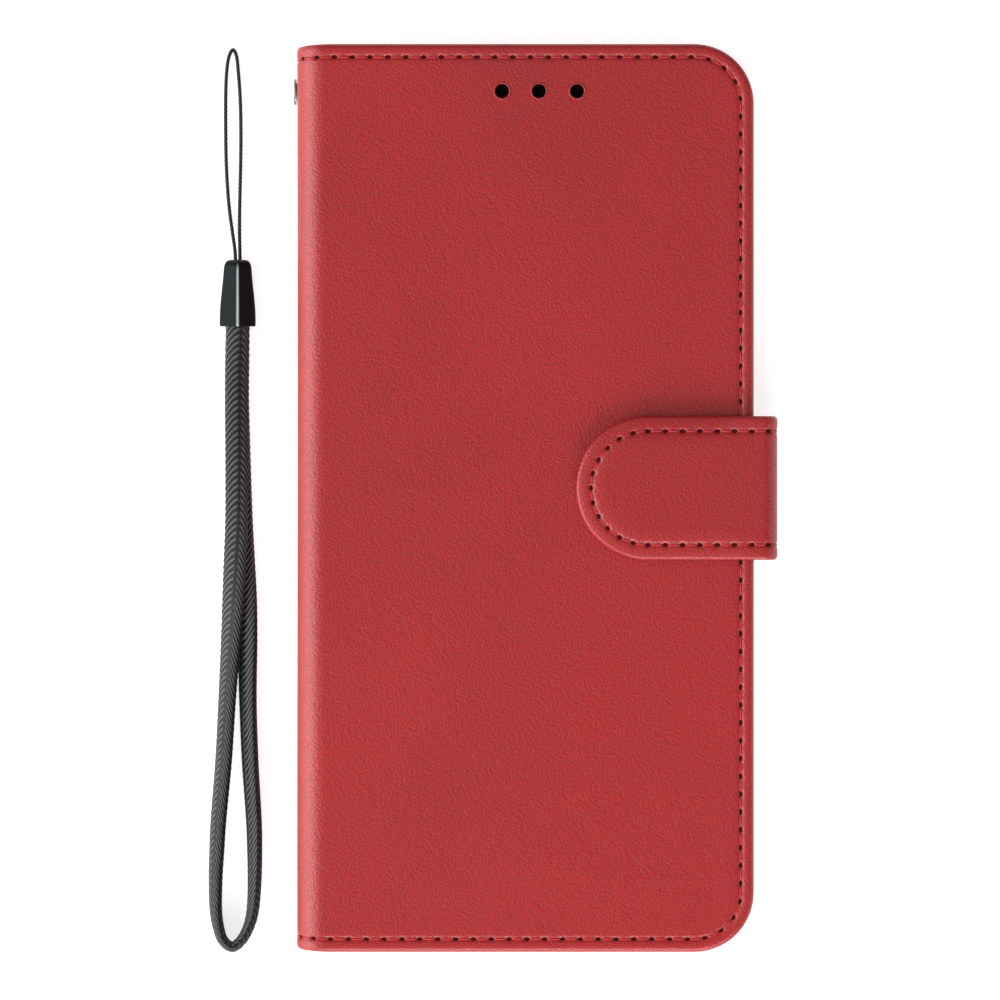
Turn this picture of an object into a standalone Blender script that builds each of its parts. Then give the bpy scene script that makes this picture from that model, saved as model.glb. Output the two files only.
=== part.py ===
"""Phone wallet case: a leather book cover round a moulded tray, a magnetic clasp and a wrist strap.

The case lies on its back. +X runs from the spine to the clasp, +Y to the top of the phone and +Z
out of the front cover. The origin is under the middle of the case, on the face it lies on.
"""
from math import cos, pi, radians, sin

import bmesh
import bpy
import numpy as np
from mathutils import Matrix

MM = 0.001

# Cover
HALF_LENGTH = 84.0
COVER_RIGHT = 40.375
FOLD_X = -39.325            # where the flat covers meet the rounded spine
CORNER = 11.0
LEATHER = 0.7
BOARD = 0.8
LINING = 0.4
GLUE = 0.1
FIT = 0.3                   # clearance between neighbours
CASE_THICK = 16.7
SPINE_RADIUS = 4.8
BACK_RIM_TOP = 2.1
FRONT_RIM_LOW = 14.0
TURN_IN = LEATHER + FIT     # boards and linings stop this far inside the turned edge
BOARD_LEFT = -37.5          # boards stop short of the fold
LINING_LEFT = -38.5

# Seam
SEAM_INSET = 2.4
THREAD = 0.15
GROOVE = 0.3
THREAD_DEPTH = 0.1          # thread centre line under the leather's face

# Phone tray
TRAY = (-38.6, 39.0, -82.7, 82.7)
TRAY_LOW = 2.2
TRAY_TOP = 11.7
TRAY_CORNER = 9.7
TRAY_WALL = 1.2
TRAY_BASE = 1.0
TRAY_LIP = 0.8
LIP_THICK = 0.5
CAMERA = (10.6, 35.0, 49.0, 78.0)
CAMERA_CORNER = 5.0
PORT = (12.6, 5.0)          # charging slot: width and height
PORT_Z = 7.2
KEY_Z = 7.25
KEY_HEIGHT = 3.5
KEY_X = (38.1, 39.5)
KEYS = {"power_key": (24.0, 35.0), "volume_key": (41.0, 63.0)}

# Openings in the front cover
SPEAKER_X = (-6.2, 0.65, 7.7)
SPEAKER_Y = 75.3
SPEAKER_RADIUS = 1.4

# Card and cash pockets, from the cover lining towards the phone
CASH_TOP = 66.0
CARD_Y = (-50.0, 42.0)
CARD_STEP = 9.0
CARD_FIRST_X = -28.0
CARD_NAMES = ("card_slot_inner", "card_slot_middle", "card_slot_outer")

# Clasp
CLASP_Y = 1.85
CLASP_HALF = 13.3
CLASP_RIGHT = 44.775
CLASP_TOP = 19.6
CLASP_BEND = 2.6
TAB_CENTRE_X = 20.8
TAB_RIGHT = 41.875
TAB_LOW = 17.0
TAB_SEAM = 2.8
STRAP_LOW = 0.9
BRIDGE_START = 40.7
ANCHOR_X = (26.0, 40.4)
MAGNET_RADIUS = 7.0

# Eyelet in the spine
EYELET_Y = 75.2
EYELET_Z = CASE_THICK / 2

# Wrist strap
WEB_WIDTH = 4.4
WEB_THICK = 1.9
WEB_POINTS = 76
LOOP_RADIUS = 0.35
LOOP_POINTS = 44
BEAD_X = -55.2
BEAD_Y = (31.8, 43.7)
BEAD_TAPER = (0.76, 0.84)   # width and height of the narrow end against the wide end

CORNER_STEPS = 8
ROUND_STEPS = 24

# Centre line of the webbing as x, y, z and lean in degrees, from the bead and back to it
WEB_ROUTE = [
    (-55.20, 31.5, 3.65, 0), (-55.35, 25.0, 3.15, 2), (-55.40, 18.0, 3.05, 3), (-55.35, 7.0, 3.08, 8),
    (-55.40, -4.0, 3.08, 14), (-55.70, -11.5, 2.90, 21), (-56.05, -19.0, 2.50, 31),
    (-56.45, -26.3, 1.95, 42), (-57.15, -37.4, 2.02, 54), (-57.80, -48.5, 2.06, 58),
    (-58.75, -59.6, 2.10, 62), (-59.05, -65.1, 2.12, 65), (-59.30, -70.7, 2.18, 70),
    (-59.25, -76.2, 2.24, 76), (-58.75, -79.6, 2.30, 82), (-57.90, -82.0, 2.32, 87),
    (-56.20, -83.2, 2.32, 91), (-54.45, -81.9, 2.32, 95), (-53.10, -79.3, 2.30, 99),
    (-52.35, -76.0, 2.24, 104), (-52.05, -70.7, 2.18, 110), (-52.05, -65.1, 2.12, 115),
    (-52.20, -59.6, 2.10, 118), (-52.90, -48.5, 2.06, 122), (-53.30, -37.4, 2.02, 126),
    (-53.40, -26.3, 1.83, 138), (-53.65, -19.0, 1.60, 149), (-54.15, -11.5, 1.35, 159),
    (-54.60, -4.0, 1.24, 166), (-55.00, 7.0, 1.12, 172), (-55.30, 18.0, 1.06, 177),
    (-55.25, 25.0, 1.12, 178), (-55.20, 31.5, 1.62, 180),
]

# Centre line of the thin loop, from the bead and back to it
LOOP_ROUTE = [
    (-55.62, 44.0, 2.10), (-55.72, 46.0, 1.75), (-56.15, 49.0, 0.80), (-56.70, 53.0, 0.40),
    (-57.07, 57.0, 0.37), (-57.35, 62.5, 0.37), (-57.44, 68.1, 0.37), (-57.44, 74.0, 0.37),
    (-57.30, 78.5, 0.37), (-56.90, 81.6, 0.37), (-56.15, 83.1, 0.37), (-55.45, 82.0, 0.37),
    (-55.12, 79.2, 0.37), (-54.75, 74.0, 0.37), (-54.62, 68.0, 0.37), (-54.66, 62.5, 0.37),
    (-54.78, 57.0, 0.37), (-54.86, 53.0, 0.40), (-54.86, 49.0, 0.80), (-54.80, 46.0, 1.75),
    (-54.78, 44.0, 2.10),
]

for leftover in list(bpy.data.objects):
    bpy.data.objects.remove(leftover, do_unlink=True)

CASE = bpy.data.collections.new("phone_wallet_case")
GUIDES = bpy.data.collections.new("cutters")
for group in (CASE, GUIDES):
    bpy.context.scene.collection.children.link(group)


# ---- materials -------------------------------------------------------------------------------

def linear(channel):
    value = channel / 255
    return value / 12.92 if value <= 0.04045 else ((value + 0.055) / 1.055) ** 2.4


def paint(item, colour, roughness, metallic=0.0):
    """Give a part a material of its own, with an 8-bit sRGB colour."""
    material = bpy.data.materials.new(item.name)
    material.use_nodes = True
    shader = material.node_tree.nodes["Principled BSDF"]
    shader.inputs["Base Color"].default_value = [linear(channel) for channel in colour] + [1.0]
    shader.inputs["Roughness"].default_value = roughness
    shader.inputs["Metallic"].default_value = metallic
    item.data.materials.append(material)
    return item


def leather(item):
    return paint(item, (172, 52, 51), 0.45)


def thread(item):
    return paint(item, (150, 30, 32), 0.7)


def board(item):
    return paint(item, (120, 104, 84), 0.9)


def lining(item):
    return paint(item, (150, 44, 44), 0.6)


def magnet(item):
    return paint(item, (150, 152, 155), 0.3, 1.0)


def black_plastic(item):
    return paint(item, (22, 22, 24), 0.4)


# ---- outlines --------------------------------------------------------------------------------

def arc(centre_x, centre_y, radius, start, end, steps=CORNER_STEPS):
    angles = np.radians(np.linspace(start, end, steps + 1))
    return [(centre_x + radius * cos(a), centre_y + radius * sin(a)) for a in angles]


def circle(centre_x, centre_y, radius, steps=ROUND_STEPS):
    return arc(centre_x, centre_y, radius, 0, 360, steps)[:-1]


def rounded(left, right, low, high, radii):
    """Rectangle, anticlockwise, with radii for its low left, low right, top right and top left."""
    corners = [(left, low, 1, 1, 180), (right, low, -1, 1, 270),
               (right, high, -1, -1, 0), (left, high, 1, -1, 90)]
    points = []
    for (x, y, to_x, to_y, start), radius in zip(corners, radii):
        if radius:
            points += arc(x + to_x * radius, y + to_y * radius, radius, start, start + 90)
        else:
            points.append((x, y))
    return points


def cover_outline(left, inset):
    radius = CORNER - inset
    reach = HALF_LENGTH - inset
    return rounded(left, COVER_RIGHT - inset, -reach, reach, (0, radius, radius, 0))


def tab_outline(right, inset):
    radius = CLASP_HALF - inset
    points = [(right, CLASP_Y - radius), (right, CLASP_Y + radius)]
    return points + arc(TAB_CENTRE_X, CLASP_Y, radius, 90, 270, 2 * CORNER_STEPS)


def fold_section(x, low, high, radius, inset, thickness):
    """C section of a sheet that folds up and over: two quarter turns joined by a straight."""
    outer = radius - inset
    inner = outer - thickness
    turn = 1 if x > 0 else -1
    section = []
    for size, order in ((outer, 1), (inner, -1)):
        upper = arc(0, 0, size, 90, 0)
        lower = arc(0, 0, size, 0, -90)
        side = [(x + turn * a, high - radius + b) for a, b in upper]
        side += [(x + turn * a, low + radius + b) for a, b in lower]
        section += side[::order]
    return section


# ---- shapes ----------------------------------------------------------------------------------

def place(item, cutter=False):
    (GUIDES if cutter else CASE).objects.link(item)
    if cutter:
        item.hide_render = True
        item.display_type = "WIRE"
    return item


def plate(name, outlines, low, high, cutter=False):
    """Flat sheet from a 2D curve: the first outline is its edge and the others are holes."""
    curve = bpy.data.curves.new(name, "CURVE")
    curve.dimensions = "2D"
    curve.fill_mode = "BOTH"
    curve.extrude = (high - low) / 2 * MM
    for outline in outlines:
        spline = curve.splines.new("POLY")
        spline.points.add(len(outline) - 1)
        spline.use_cyclic_u = True
        for point, (x, y) in zip(spline.points, outline):
            point.co = (x * MM, y * MM, 0, 1)
    item = place(bpy.data.objects.new(name, curve), cutter)
    item.location.z = (low + high) / 2 * MM
    return item


def bar(name, section, low, high, cutter=False):
    """Sheet whose section lies in XZ and which runs along Y from low to high."""
    item = plate(name, [section], low, high, cutter)
    item.rotation_euler.x = radians(90)
    item.location = (0, (low + high) / 2 * MM, 0)
    return item


def tube(name, points, radius, cutter=False):
    curve = bpy.data.curves.new(name, "CURVE")
    curve.dimensions = "3D"
    curve.bevel_depth = radius * MM
    curve.bevel_resolution = 2
    curve.use_fill_caps = True
    spline = curve.splines.new("POLY")
    spline.points.add(len(points) - 1)
    for point, (x, y, z) in zip(spline.points, points):
        point.co = (x * MM, y * MM, z * MM, 1)
    return place(bpy.data.objects.new(name, curve), cutter)


def solid(item):
    """Turn a curve object into a mesh object with welded caps, in the same place."""
    bpy.context.view_layer.update()
    evaluated = item.evaluated_get(bpy.context.evaluated_depsgraph_get())
    mesh = bpy.data.meshes.new_from_object(evaluated)
    shape = bmesh.new()
    shape.from_mesh(mesh)
    bmesh.ops.remove_doubles(shape, verts=shape.verts, dist=0.00001)
    bmesh.ops.recalc_face_normals(shape, faces=shape.faces)
    shape.to_mesh(mesh)
    shape.free()
    name = item.name
    cutter = item.name in GUIDES.objects
    matrix = item.matrix_world.copy()
    bpy.data.objects.remove(item, do_unlink=True)
    result = place(bpy.data.objects.new(name, mesh), cutter)
    result.matrix_world = matrix
    return result


def cut(item, cutter):
    modifier = item.modifiers.new(cutter.name, "BOOLEAN")
    modifier.operation = "DIFFERENCE"
    modifier.object = cutter
    return item


def cut_plate(item, name, outline, low, high):
    return cut(item, solid(plate(f"{item.name}_{name}", [outline], low, high, cutter=True)))


def cut_tube(item, name, points, radius):
    return cut(item, solid(tube(f"{item.name}_{name}", points, radius, cutter=True)))


def block(name, x, y, z, edge):
    """Box with rounded edges between pairs of limits."""
    bpy.ops.mesh.primitive_cube_add(size=1)
    item = bpy.context.object
    for owner in list(item.users_collection):
        owner.objects.unlink(item)
    item.name = name
    middle = [(low + high) / 2 * MM for low, high in (x, y, z)]
    size = [(high - low) * MM for low, high in (x, y, z)]
    item.data.transform(Matrix.Diagonal((*size, 1)))
    item.location = middle
    bevel = item.modifiers.new("edge", "BEVEL")
    bevel.width = edge * MM
    bevel.segments = 2
    return place(item)


def turned(name, profile, at):
    """Ring about an X axis: the profile holds radius and height outwards, along -X."""
    mesh = bpy.data.meshes.new(name)
    count = len(profile)
    verts = [(radius * MM, 0, height * MM) for radius, height in profile]
    mesh.from_pydata(verts, [(i, (i + 1) % count) for i in range(count)], [])
    item = place(bpy.data.objects.new(name, mesh))
    screw = item.modifiers.new("turn", "SCREW")
    screw.steps = ROUND_STEPS
    screw.render_steps = ROUND_STEPS
    screw.use_merge_vertices = True
    screw.merge_threshold = 0.00001
    item.rotation_euler.y = radians(-90)
    item.location = [value * MM for value in at]
    return item


def smooth_route(route, count):
    """Points evenly spaced along a Catmull-Rom curve through a route's own points."""
    knots = np.array(route, dtype=float)
    padded = np.vstack([2 * knots[0] - knots[1], knots, 2 * knots[-1] - knots[-2]])
    step = np.linspace(0, 1, 20, endpoint=False)[:, None]
    pieces = []
    for before, start, end, after in zip(padded, padded[1:], padded[2:], padded[3:]):
        pieces.append(0.5 * (2 * start + (end - before) * step
                             + (2 * before - 5 * start + 4 * end - after) * step ** 2
                             + (3 * start - before - 3 * end + after) * step ** 3))
    fine = np.vstack(pieces + [knots[-1:]])
    along = np.r_[0, np.cumsum(np.linalg.norm(np.diff(fine[:, :3], axis=0), axis=1))]
    wanted = np.linspace(0, along[-1], count)
    return np.column_stack([np.interp(wanted, along, column) for column in fine.T])


# ---- seams -----------------------------------------------------------------------------------

def cover_seam(left, z):
    """Seam line round three sides of a cover, parallel to its edge."""
    outline = cover_outline(left, SEAM_INSET)
    return [(x, y, z) for x, y in outline]


def spine_seam(y, depth, overlap):
    """Seam line over the rounded spine, at a depth under its outer face."""
    radius = SPINE_RADIUS - depth
    top = arc(FOLD_X, CASE_THICK - SPINE_RADIUS, radius, 90, 180)
    low = arc(FOLD_X, SPINE_RADIUS, radius, 180, 270)
    points = [(x, y, z) for x, z in top + low]
    start = (FOLD_X + overlap, y, CASE_THICK - depth)
    end = (FOLD_X + overlap, y, depth)
    return [start] + points + [end] if overlap > 0 else points


def tab_seam(right, z):
    """Seam line round the clasp's tab."""
    outline = tab_outline(right, TAB_SEAM)
    return [(x, y, z) for x, y in outline[1:] + outline[:1]]


# ---- back cover ------------------------------------------------------------------------------

def camera_outline(grow=0.0):
    left, right, low, high = CAMERA
    radius = CAMERA_CORNER + grow
    return rounded(left - grow, right + grow, low - grow, high + grow, [radius] * 4)


def back_cover():
    left = FOLD_X + FIT
    skin = solid(plate("back_skin", [cover_outline(left, 0)], 0, BACK_RIM_TOP))
    cut_plate(skin, "pocket", cover_outline(left - 2, LEATHER), LEATHER, BACK_RIM_TOP + 1)
    cut_plate(skin, "camera", camera_outline(), -1, BACK_RIM_TOP + 1)
    notch = rounded(COVER_RIGHT - 2, COVER_RIGHT + 2, CLASP_Y - CLASP_HALF - FIT,
                    CLASP_Y + CLASP_HALF + FIT, (0, 0, 0, 0))
    cut_plate(skin, "clasp_notch", notch, LEATHER, BACK_RIM_TOP + 1)
    cut_tube(skin, "seam_groove", cover_seam(left - 2, THREAD), GROOVE)
    leather(skin)
    thread(tube("back_seam_thread", cover_seam(left + FIT, THREAD + 0.05), THREAD))

    low = LEATHER + GLUE
    stiff = solid(plate("back_board", [cover_outline(BOARD_LEFT, TURN_IN), camera_outline()],
                        low, low + BOARD))
    slot = rounded(ANCHOR_X[0] - FIT, COVER_RIGHT + 2, CLASP_Y - CLASP_HALF - FIT,
                   CLASP_Y + CLASP_HALF + FIT, (0, 0, 0, 0))
    board(cut_plate(stiff, "clasp_slot", slot, 0, BACK_RIM_TOP + 1))
    anchor = rounded(*ANCHOR_X, CLASP_Y - CLASP_HALF, CLASP_Y + CLASP_HALF, (0, 0, 0, 0))
    leather(plate("clasp_anchor", [anchor], low, low + BOARD))
    low += BOARD + GLUE
    lining(plate("back_lining", [cover_outline(LINING_LEFT, TURN_IN), camera_outline()],
                 low, low + LINING))


def phone_tray():
    left, right, low, high = TRAY

    def ring(inset):
        return rounded(left + inset, right - inset, low + inset, high - inset,
                       [TRAY_CORNER - inset] * 4)

    tray = solid(plate("phone_tray", [ring(0)], TRAY_LOW, TRAY_TOP))
    floor = TRAY_LOW + TRAY_BASE
    cut_plate(tray, "cavity", ring(TRAY_WALL), floor, TRAY_TOP - LIP_THICK)
    cut_plate(tray, "mouth", ring(TRAY_WALL + TRAY_LIP), TRAY_TOP - 2 * LIP_THICK, TRAY_TOP + 1)
    cut_plate(tray, "camera", camera_outline(-FIT), TRAY_LOW - 1, floor + 1)
    width, height = PORT
    middle = (left + right) / 2
    port = rounded(middle - width / 2, middle + width / 2, low - 1, low + TRAY_WALL + 1, (0,) * 4)
    cut_plate(tray, "port", port, PORT_Z - height / 2, PORT_Z + height / 2)
    for name, (start, end) in KEYS.items():
        window = rounded(right - TRAY_WALL - 1, right + 1, start - FIT, end + FIT, (0,) * 4)
        reach = KEY_HEIGHT / 2 + FIT
        cut_plate(tray, f"{name}_window", window, KEY_Z - reach, KEY_Z + reach)
    black_plastic(tray)
    for name, limits in KEYS.items():
        reach = KEY_HEIGHT / 2
        black_plastic(block(name, KEY_X, limits, (KEY_Z - reach, KEY_Z + reach), 0.3))


# ---- spine -----------------------------------------------------------------------------------

def spine():
    section = fold_section(FOLD_X, 0, CASE_THICK, SPINE_RADIUS, 0, LEATHER)
    skin = solid(bar("spine_skin", section, -HALF_LENGTH, HALF_LENGTH))
    outside = FOLD_X - SPINE_RADIUS
    hole = circle(EYELET_Z, EYELET_Y, 1.9)
    for side, name in ((1, "top"), (-1, "bottom")):
        y = side * (HALF_LENGTH - SEAM_INSET)
        cut_tube(skin, f"groove_{name}", spine_seam(y, 0.08, 2), GROOVE)
        thread(tube(f"spine_thread_{name}", spine_seam(y, THREAD_DEPTH + 0.05, 0), THREAD))
    leather(skin)
    sheets = {"spine_board": (LEATHER + GLUE, 0.6, 4.8, board),
              "spine_lining": (LEATHER + 0.6 + 2 * GLUE, LINING, 3.5, lining)}
    for name, (inset, thick, edge, finish) in sheets.items():
        outline = rounded(edge, CASE_THICK - edge, -HALF_LENGTH + 1, HALF_LENGTH - 1, (0,) * 4)
        sheet = plate(name, [outline, hole], -thick / 2, thick / 2)
        sheet.rotation_euler.y = radians(-90)
        sheet.location = ((outside + inset + thick / 2) * MM, 0, 0)
        finish(sheet)
    punch = solid(plate("spine_skin_eyelet_hole", [hole], -2, 2, cutter=True))
    punch.matrix_world = Matrix.Translation((outside * MM, 0, 0)) @ Matrix.Rotation(-pi / 2, 4, "Y")
    cut(skin, punch)


def eyelet():
    barrel = [(1.25, 0.65), (2.2, 0.65), (2.45, 0.4), (2.45, 0.1), (1.6, 0.1), (1.6, -2.5),
              (2.2, -2.5), (2.2, -2.75), (1.9, -2.9), (1.2, -2.9), (1.2, 0.6)]
    washer = [(2.45, -2.0), (2.45, -2.35), (1.75, -2.35), (1.75, -2.0)]
    at = (FOLD_X - SPINE_RADIUS, EYELET_Y, EYELET_Z)
    for name, profile in (("eyelet_barrel", barrel), ("eyelet_washer", washer)):
        paint(turned(name, profile, at), (150, 148, 145), 0.3, 1.0)


# ---- front cover -----------------------------------------------------------------------------

def front_cover():
    left = FOLD_X + FIT
    speakers = [circle(x, SPEAKER_Y, SPEAKER_RADIUS, 16) for x in SPEAKER_X]
    sheet_low = CASE_THICK - LEATHER
    skin = solid(plate("front_skin", [cover_outline(left, 0), *speakers], FRONT_RIM_LOW, CASE_THICK))
    cut_plate(skin, "pocket", cover_outline(left - 2, LEATHER), FRONT_RIM_LOW - 1, sheet_low)
    cut_tube(skin, "seam_groove", cover_seam(left - 2, CASE_THICK - 0.05), GROOVE)
    leather(skin)
    thread(tube("front_seam_thread", cover_seam(left + FIT, CASE_THICK - THREAD_DEPTH), THREAD))

    inside = cover_outline(BOARD_LEFT, TURN_IN)
    paint(plate("front_padding", [inside, *speakers], sheet_low - 0.6, sheet_low - GLUE),
          (205, 200, 190), 0.9)
    board_top = sheet_low - 0.7
    seat = circle(TAB_CENTRE_X, CLASP_Y, MAGNET_RADIUS + FIT)
    board(plate("front_board", [inside, *speakers, seat], board_top - BOARD, board_top))
    disc = circle(TAB_CENTRE_X, CLASP_Y, MAGNET_RADIUS)
    magnet(plate("front_magnet", [disc], board_top - BOARD, board_top))
    lining(plate("front_lining", [cover_outline(LINING_LEFT, TURN_IN), *speakers],
                 FRONT_RIM_LOW, FRONT_RIM_LOW + LINING))

    right = COVER_RIGHT - TURN_IN
    high = FRONT_RIM_LOW - GLUE
    cash = rounded(BOARD_LEFT, right, -HALF_LENGTH + 1, CASH_TOP, (0, CORNER - 1, 2, 2))
    lining(plate("cash_pocket_panel", [cash], high - LINING, high))
    for number, name in enumerate(CARD_NAMES):
        high -= LINING + GLUE
        free_edge = CARD_FIRST_X + number * CARD_STEP
        card = rounded(free_edge, right - 0.5, *CARD_Y, (1.5, 0, 0, 1.5))
        lining(plate(name, [card], high - LINING, high))


# ---- clasp -----------------------------------------------------------------------------------

def clasp():
    low_y = CLASP_Y - CLASP_HALF
    high_y = CLASP_Y + CLASP_HALF
    fold_x = CLASP_RIGHT - CLASP_BEND
    sheets = {"clasp_bridge_outer": (0, leather), "clasp_bridge_lining": (LEATHER + GLUE, lining)}
    for name, (inset, finish) in sheets.items():
        section = fold_section(fold_x, STRAP_LOW, CLASP_TOP, CLASP_BEND, inset, LEATHER)
        half = len(section) // 2
        foot = [(BRIDGE_START, STRAP_LOW + inset), (BRIDGE_START, STRAP_LOW + inset + LEATHER)]
        finish(bar(name, section[:half] + foot + section[half:], low_y, high_y))

    pocket_top = CLASP_TOP - LEATHER
    outer = solid(plate("clasp_tab_outer", [tab_outline(TAB_RIGHT, 0)], TAB_LOW + LEATHER + GLUE,
                        CLASP_TOP))
    cut_plate(outer, "pocket", tab_outline(TAB_RIGHT - 2, LEATHER), TAB_LOW, pocket_top)
    cut_tube(outer, "seam_groove", tab_seam(TAB_RIGHT + 2, CLASP_TOP - 0.05), GROOVE)
    leather(outer)
    thread(tube("clasp_tab_thread", tab_seam(TAB_RIGHT - FIT, CLASP_TOP - THREAD_DEPTH - 0.05), THREAD))
    lining(plate("clasp_tab_lining", [tab_outline(TAB_RIGHT, 0)], TAB_LOW, TAB_LOW + LEATHER))
    low = TAB_LOW + LEATHER + GLUE
    seat = circle(TAB_CENTRE_X, CLASP_Y, MAGNET_RADIUS + FIT)
    board(plate("clasp_tab_stiffener", [tab_outline(TAB_RIGHT - 2 - FIT, TURN_IN), seat],
                low, pocket_top - GLUE))
    disc = circle(TAB_CENTRE_X, CLASP_Y, MAGNET_RADIUS)
    magnet(plate("clasp_tab_magnet", [disc], low, pocket_top - GLUE))


# ---- wrist strap -----------------------------------------------------------------------------

def wrist_strap():
    black_plastic(tube("strap_thread_loop", smooth_route(LOOP_ROUTE, LOOP_POINTS), LOOP_RADIUS))

    flat = [(WEB_WIDTH / 2 * np.sign(cos(a)) * abs(cos(a)) ** 0.8,
             WEB_THICK / 2 * np.sign(sin(a)) * abs(sin(a)) ** 0.8)
            for a in np.linspace(2 * pi, 0, 12, endpoint=False)]
    section = plate("strap_webbing_section", [flat], 0, 0, cutter=True)
    section.data.fill_mode = "NONE"
    path = smooth_route(WEB_ROUTE, WEB_POINTS)
    webbing = tube("strap_webbing", path[:, :3], 0)
    webbing.data.bevel_mode = "OBJECT"
    webbing.data.bevel_object = section
    webbing.data.twist_mode = "Z_UP"
    for point, lean in zip(webbing.data.splines[0].points, path[:, 3]):
        point.tilt = radians(lean)
    black_plastic(webbing)

    house = [(-3.25, 0), (3.25, 0), (3.25, 3.2), (0.3, 5.2), (-0.3, 5.2), (-3.25, 3.2)]
    bead = solid(bar("strap_bead", [(BEAD_X + x, z) for x, z in house], *BEAD_Y))
    bead.data.transform(bead.matrix_world)
    bead.matrix_world = Matrix.Identity(4)
    narrow = (BEAD_Y[0] + BEAD_Y[1]) / 2 * MM
    for vertex in bead.data.vertices:
        if vertex.co.y > narrow:
            vertex.co.x = BEAD_X * MM + (vertex.co.x - BEAD_X * MM) * BEAD_TAPER[0]
            vertex.co.z *= BEAD_TAPER[1]
    edge = bead.modifiers.new("edge", "BEVEL")
    edge.width = 0.4 * MM
    edge.segments = 2
    black_plastic(bead)


# ---- joints ----------------------------------------------------------------------------------

def hinge_point(x, z, radius, turn_x, turn_z):
    """Middle of a fold's arc, on its outer face."""
    return x + turn_x * radius * cos(pi / 4), z + turn_z * radius * sin(pi / 4)


def axis_empty(name, x, y, z, parent=None):
    empty = bpy.data.objects.new(name, None)
    CASE.objects.link(empty)
    empty.location = (x * MM, y * MM, z * MM)
    if parent:
        hang(empty, parent)
    return empty


def hang(item, parent):
    bpy.context.view_layer.update()
    item.parent = parent
    item.matrix_parent_inverse = parent.matrix_world.inverted()


def joints():
    x, z = hinge_point(FOLD_X, SPINE_RADIUS, SPINE_RADIUS, -1, -1)
    spine_axis = axis_empty("spine_hinge_axis", x, 0, z)
    x, z = hinge_point(FOLD_X, CASE_THICK - SPINE_RADIUS, SPINE_RADIUS, -1, 1)
    front_axis = axis_empty("front_hinge_axis", x, 0, z, spine_axis)
    fold_x = CLASP_RIGHT - CLASP_BEND
    x, z = hinge_point(fold_x, STRAP_LOW + CLASP_BEND, CLASP_BEND, 1, -1)
    bridge_axis = axis_empty("clasp_bridge_axis", x, CLASP_Y, z)
    x, z = hinge_point(fold_x, CLASP_TOP - CLASP_BEND, CLASP_BEND, 1, 1)
    tab_axis = axis_empty("clasp_tab_axis", x, CLASP_Y, z, bridge_axis)
    strap_axis = axis_empty("wrist_strap_axis", BEAD_X, sum(BEAD_Y) / 2, 0)
    carried = {"spine_": spine_axis, "eyelet_": spine_axis, "front_": front_axis,
               "card_": front_axis, "cash_": front_axis, "clasp_bridge_": bridge_axis,
               "clasp_tab_": tab_axis, "strap_": strap_axis}
    for item in list(CASE.objects):
        for start, axis in carried.items():
            if item.type != "EMPTY" and item.name.startswith(start):
                hang(item, axis)


back_cover()
phone_tray()
spine()
eyelet()
front_cover()
clasp()
wrist_strap()
joints()
for part in CASE.objects:
    if part.type == "MESH":
        part.data.shade_smooth()
        part.data.set_sharp_from_angle(angle=radians(35))
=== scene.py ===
from math import pi

import bpy
import numpy as np
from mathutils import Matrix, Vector


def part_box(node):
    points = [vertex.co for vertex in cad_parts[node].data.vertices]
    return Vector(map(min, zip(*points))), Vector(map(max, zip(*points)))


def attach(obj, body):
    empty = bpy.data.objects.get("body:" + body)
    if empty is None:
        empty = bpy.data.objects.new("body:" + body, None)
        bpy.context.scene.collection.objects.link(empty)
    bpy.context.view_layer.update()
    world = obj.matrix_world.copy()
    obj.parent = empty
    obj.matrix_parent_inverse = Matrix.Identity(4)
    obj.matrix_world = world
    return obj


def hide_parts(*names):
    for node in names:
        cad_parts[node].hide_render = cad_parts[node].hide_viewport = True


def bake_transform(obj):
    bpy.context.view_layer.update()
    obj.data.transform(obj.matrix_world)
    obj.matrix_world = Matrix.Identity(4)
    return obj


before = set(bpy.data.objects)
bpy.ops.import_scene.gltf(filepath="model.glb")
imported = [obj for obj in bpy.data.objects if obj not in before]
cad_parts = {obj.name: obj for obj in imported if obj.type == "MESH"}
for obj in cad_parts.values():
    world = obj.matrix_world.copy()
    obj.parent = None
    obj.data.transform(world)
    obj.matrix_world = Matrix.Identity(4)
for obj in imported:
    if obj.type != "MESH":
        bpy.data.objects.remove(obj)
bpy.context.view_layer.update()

mm = 0.001


# small tools

def hexColour(text, alpha=1.0):  # sRGB hex to linear
    channels = np.array([int(text[i:i + 2], 16) for i in (1, 3, 5)]) / 255
    return (*np.where(channels <= 0.04045, channels / 12.92, ((channels + 0.055) / 1.055) ** 2.4), alpha)


def boxMm(node):  # a node's lowest and highest corners, in millimetres
    low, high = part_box(node)
    return np.array(low) / mm, np.array(high) / mm


def meshPiece(name, points, faces, material, smooth=True):  # points in millimetres
    mesh = bpy.data.meshes.new(name)
    mesh.from_pydata((np.asarray(points) * mm).tolist(), [], np.asarray(faces).tolist())
    mesh.polygons.foreach_set("use_smooth", np.full(len(mesh.polygons), smooth))
    mesh.materials.append(material)
    mesh.update()
    piece = bpy.data.objects.new(name, mesh)
    bpy.context.collection.objects.link(piece)
    return piece


def gridFaces(rows, columns, closeColumns=False):
    # quads between neighbours of a rows x columns grid; closeColumns joins the last column to the first
    a = np.arange(rows * columns).reshape(rows, columns)
    nextColumn = np.roll(a, -1, axis=1) if closeColumns else a[:, 1:]
    here = a if closeColumns else a[:, :-1]
    return np.stack([here[:-1], nextColumn[:-1], nextColumn[1:], here[1:]], axis=-1).reshape(-1, 4)


def applyModifiers(piece):  # keep the finished mesh, so that no modifier is left on the piece
    evaluated = piece.evaluated_get(bpy.context.evaluated_depsgraph_get())
    mesh = bpy.data.meshes.new_from_object(evaluated)
    mesh.set_sharp_from_angle(angle=0.9)  # a cut edge stays crisp, the rest stays smooth
    piece.modifiers.clear()
    piece.data = mesh
    return piece


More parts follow.
